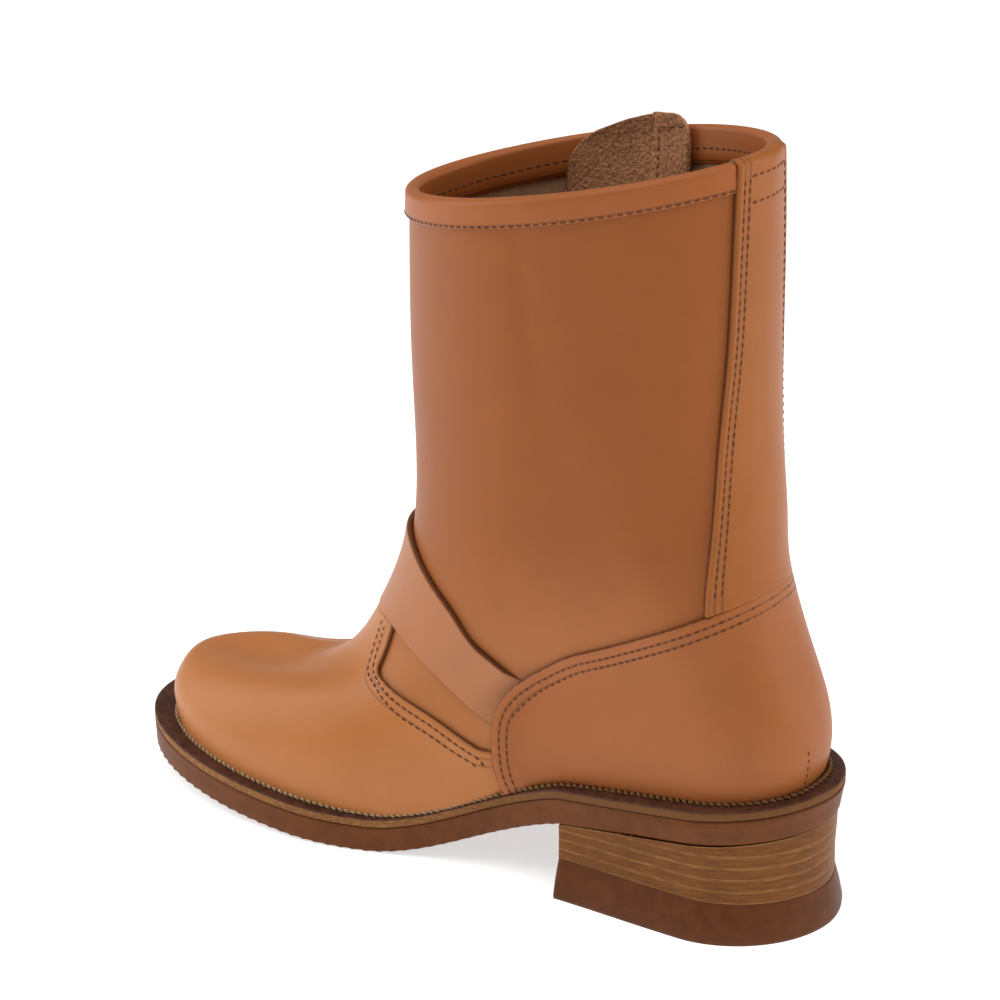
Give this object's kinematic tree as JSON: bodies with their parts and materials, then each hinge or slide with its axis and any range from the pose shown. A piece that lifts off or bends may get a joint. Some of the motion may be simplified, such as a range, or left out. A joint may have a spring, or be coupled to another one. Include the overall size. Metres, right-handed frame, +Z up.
{
  "type": "engineer boot",
  "caption": "Pull-on leather engineer boot with a buckled instep strap and a buckled collar strap over a gusset slit, on a welted rubber sole with a stacked heel",
  "frame": {"origin": "centre of the bounding box in plan, on the plane the heel and the forefoot rest on", "axes": "+Y towards the toe, +Z up, +X towards the lateral (outer) side of this right boot"},
  "size_m": [0.1124, 0.3, 0.2827],
  "materials": {
    "upper_leather": "smooth natural tan, soft sheen",
    "strap_leather": "smooth natural tan, dark cut edges",
    "suede": "rough flesh side",
    "insole_leather": "matte",
    "welt_leather": "burnished dark brown",
    "stack_leather": "burnished edge",
    "sole_rubber": "brown, satin",
    "buckle_metal": "smooth, slightly worn"
  },
  "bodies": {
    "root": {"upper": "upper_leather", "vamp": "upper_leather", "counter": "upper_leather", "backstay": "upper_leather", "binding_medial": "upper_leather", "binding_lateral": "upper_leather", "instep_strap": "strap_leather", "instep_anchor": "strap_leather", "collar_strap": "strap_leather", "collar_anchor": "strap_leather", "instep_buckle": "buckle_metal", "instep_prong": "buckle_metal", "collar_buckle": "buckle_metal", "collar_prong": "buckle_metal", "gusset_flap": "suede", "insole": "insole_leather", "welt": "welt_leather", "heel_lift_1": "stack_leather", "heel_lift_2": "stack_leather", "heel_lift_3": "stack_leather", "heel_lift_4": "stack_leather", "heel_wedge": "stack_leather", "outsole": "sole_rubber", "heel_top_lift": "sole_rubber"}
  },
  "joints": []
}
